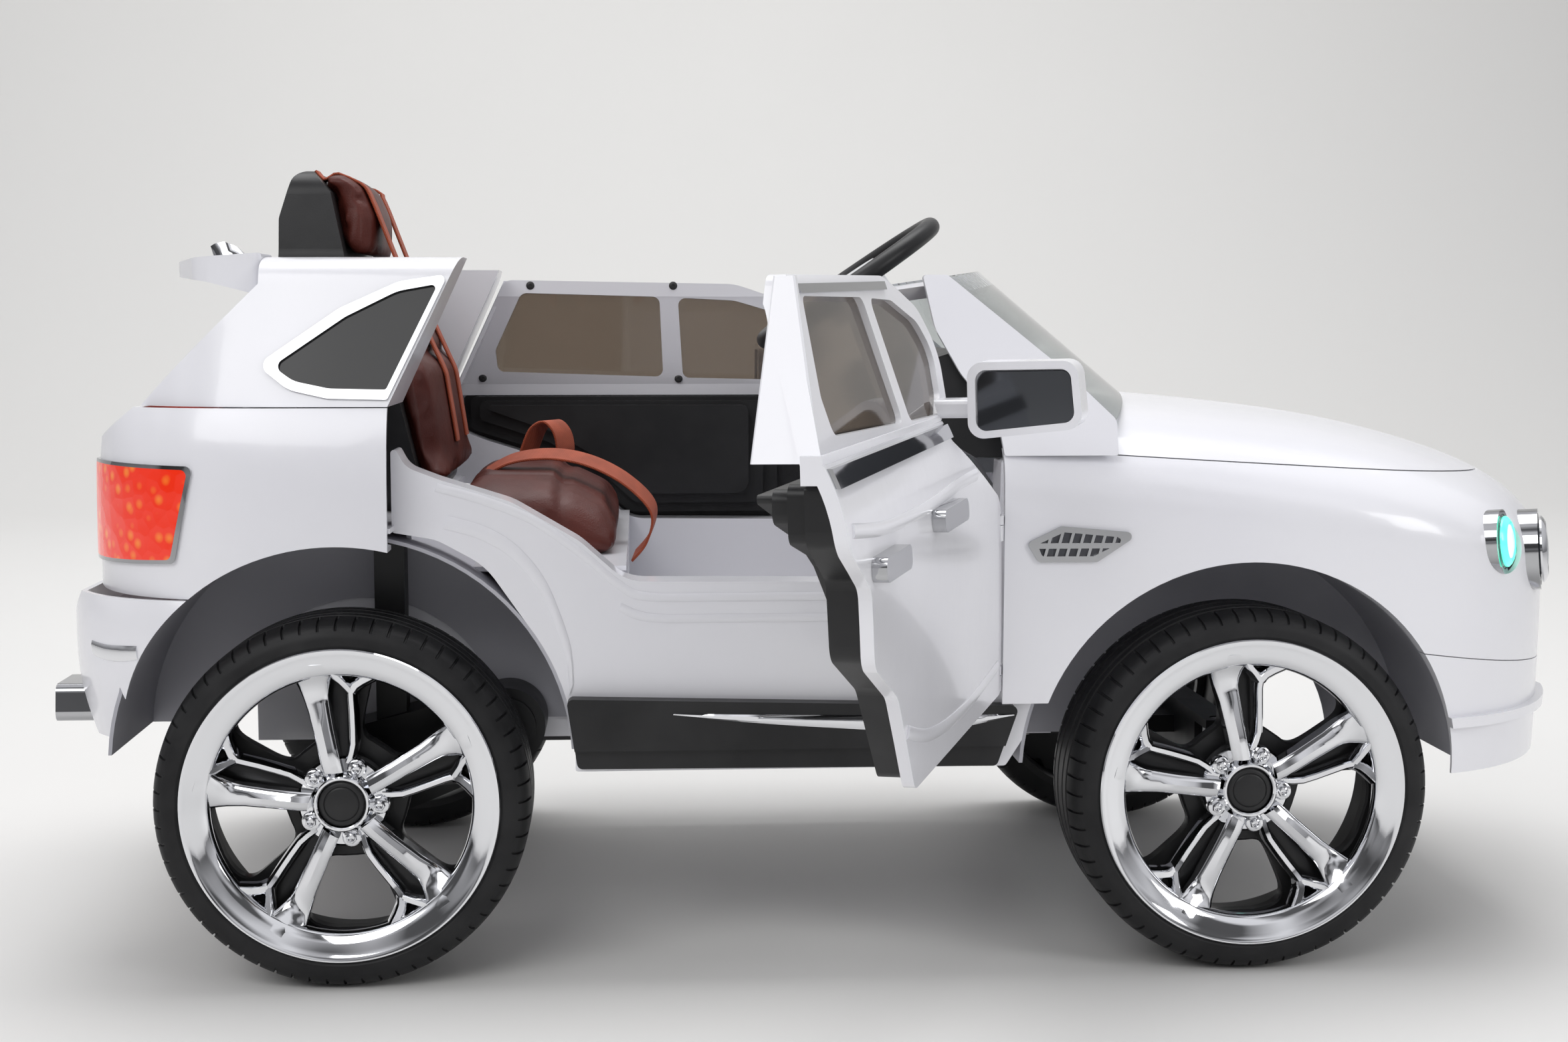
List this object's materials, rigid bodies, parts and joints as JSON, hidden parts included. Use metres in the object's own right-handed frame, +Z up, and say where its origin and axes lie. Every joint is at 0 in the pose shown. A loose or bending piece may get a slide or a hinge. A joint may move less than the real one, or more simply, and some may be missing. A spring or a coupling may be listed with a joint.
{
  "type": "electric ride on car",
  "caption": "Child-size electric ride on coupe with opening doors, steered front wheels, padded single seat, pedal, lever and start button.",
  "frame": {"origin": "on the ground, midway between the axles, on the centre plane of the car", "axes": "+X forward, +Y to the left of the driver, +Z up"},
  "size_m": [1.3355, 1.2189, 0.7056],
  "materials": {
    "white_plastic": "glossy moulded plastic",
    "black_plastic": "satin moulded plastic",
    "grey_plastic": "matt moulded plastic",
    "silver_plastic": "satin silver paint on plastic",
    "black_panel": "high gloss",
    "chrome_trim": "plated plastic",
    "clear_lens": "clear moulded lens",
    "red_lens": "red moulded lens",
    "clear_glass": "clear acrylic sheet",
    "dark_glass": "smoked acrylic sheet",
    "tinted_glass": "tinted acrylic sheet",
    "red_button": "glossy",
    "maroon_leather": "grained leatherette",
    "orange_webbing": "woven flat webbing",
    "tyre_plastic": "satin black",
    "steel": "plain turned steel",
    "black_steel": "black powder coat"
  },
  "bodies": {
    "car_body": {"floor_tub": "white_plastic", "front_shell": "white_plastic", "bonnet": "white_plastic", "front_bumper": "white_plastic", "front_grille": "chrome_trim", "fender_vents": "chrome_trim", "headlamp_lenses": "clear_lens", "lamp_bezels": "chrome_trim", "tail_lamp_lenses": "red_lens", "rear_shell": "white_plastic", "rear_upper_shell": "white_plastic", "rear_screen": "dark_glass", "rear_spoiler": "white_plastic", "rear_bumper": "white_plastic", "exhaust_tips": "chrome_trim", "quarter_windows": "black_panel", "quarter_window_frames": "chrome_trim", "windscreen_frame": "white_plastic", "windscreen": "clear_glass", "side_skirts": "black_plastic", "wheel_arch_liners": "grey_plastic", "dashboard": "black_plastic", "seat_shell": "black_plastic", "seat_cushion": "maroon_leather", "seat_backrest": "maroon_leather", "headrest": "maroon_leather", "seat_belts": "orange_webbing", "subframe": "black_steel", "rear_axle": "steel", "drive_units": "black_plastic", "battery": "black_plastic", "charging_socket": "black_plastic", "door_hinge_pins": "steel"},
    "door_right": {"door_right_shell": "white_plastic", "door_right_inner_panel": "black_plastic", "door_right_panes": "tinted_glass", "door_right_trim": "chrome_trim", "door_right_mirror": "white_plastic"},
    "door_left": {"door_left_shell": "white_plastic", "door_left_inner_panel": "black_plastic", "door_left_panes": "tinted_glass", "door_left_trim": "chrome_trim", "door_left_mirror": "white_plastic"},
    "steering": {"steering_wheel": "black_plastic", "steering_hub": "silver_plastic", "steering_shaft": "steel"},
    "tie_rod": {"tie_rod": "steel"},
    "knuckle_right": {"steering_knuckle_right": "steel"},
    "knuckle_left": {"steering_knuckle_left": "steel"},
    "pedal": {"accelerator_pedal": "black_plastic"},
    "lever": {"drive_lever": "black_plastic"},
    "button": {"start_button": "red_button"},
    "wheel_front_right": {"wheel_front_right": "tyre_plastic", "wheel_trim_front_right": "chrome_trim"},
    "wheel_front_left": {"wheel_front_left": "tyre_plastic", "wheel_trim_front_left": "chrome_trim"},
    "wheel_rear_right": {"wheel_rear_right": "tyre_plastic", "wheel_trim_rear_right": "chrome_trim"},
    "wheel_rear_left": {"wheel_rear_left": "tyre_plastic", "wheel_trim_rear_left": "chrome_trim"}
  },
  "joints": [
    {"name": "door_right_hinge", "type": "hinge", "parent": "car_body", "child": "door_right", "pos_m": [0.16, -0.328, 0.35], "axis": [0, -0.0349, 0.9994], "range_deg": [-70, 0]},
    {"name": "door_left_hinge", "type": "hinge", "parent": "car_body", "child": "door_left", "pos_m": [0.16, 0.328, 0.35], "axis": [0, -0.0349, -0.9994], "range_deg": [0, 70]},
    {"name": "steer", "type": "hinge", "parent": "car_body", "child": "steering", "pos_m": [0.068, 0, 0.588], "axis": [0.5664, 0, -0.8241], "range_deg": [-45, 45]},
    {"name": "tie_rod_slide", "type": "slide", "parent": "car_body", "child": "tie_rod", "axis": [0, 1, 0], "range_m": [-0.0142, 0.0142]},
    {"name": "king_pin_right", "type": "hinge", "parent": "car_body", "child": "knuckle_right", "pos_m": [0.381, -0.212, 0.155], "axis": [0, 0, 1], "range_deg": [-16.3, 16.3]},
    {"name": "king_pin_left", "type": "hinge", "parent": "car_body", "child": "knuckle_left", "pos_m": [0.381, 0.212, 0.155], "axis": [0, 0, 1], "range_deg": [-16.3, 16.3]},
    {"name": "spin_front_right", "type": "hinge", "parent": "knuckle_right", "child": "wheel_front_right", "pos_m": [0.381, -0.278, 0.155], "axis": [0, 1, 0], "continuous": true},
    {"name": "spin_front_left", "type": "hinge", "parent": "knuckle_left", "child": "wheel_front_left", "pos_m": [0.381, 0.278, 0.155], "axis": [0, 1, 0], "continuous": true},
    {"name": "spin_rear_right", "type": "hinge", "parent": "car_body", "child": "wheel_rear_right", "pos_m": [-0.381, -0.278, 0.155], "axis": [0, 1, 0], "continuous": true},
    {"name": "spin_rear_left", "type": "hinge", "parent": "car_body", "child": "wheel_rear_left", "pos_m": [-0.381, 0.278, 0.155], "axis": [0, 1, 0], "continuous": true},
    {"name": "pedal_press", "type": "hinge", "parent": "car_body", "child": "pedal", "pos_m": [0.208, -0.085, 0.196], "axis": [0, -1, 0], "range_deg": [0, 12], "stiffness_Nm_per_rad": 0.6},
    {"name": "lever_shift", "type": "hinge", "parent": "car_body", "child": "lever", "pos_m": [0.111, -0.14, 0.53], "axis": [0, 1, 0], "range_deg": [-12, 12]},
    {"name": "button_press", "type": "slide", "parent": "car_body", "child": "button", "axis": [0.5083, 0, 0.8612], "range_m": [0, 0.003], "stiffness_N_per_m": 300}
  ],
  "couplings": [
    {"joint": "tie_rod_slide", "follows": "steer", "m_per_rad": 0.018},
    {"joint": "king_pin_right", "follows": "steer", "ratio": -0.36},
    {"joint": "king_pin_left", "follows": "steer", "ratio": -0.36}
  ]
}
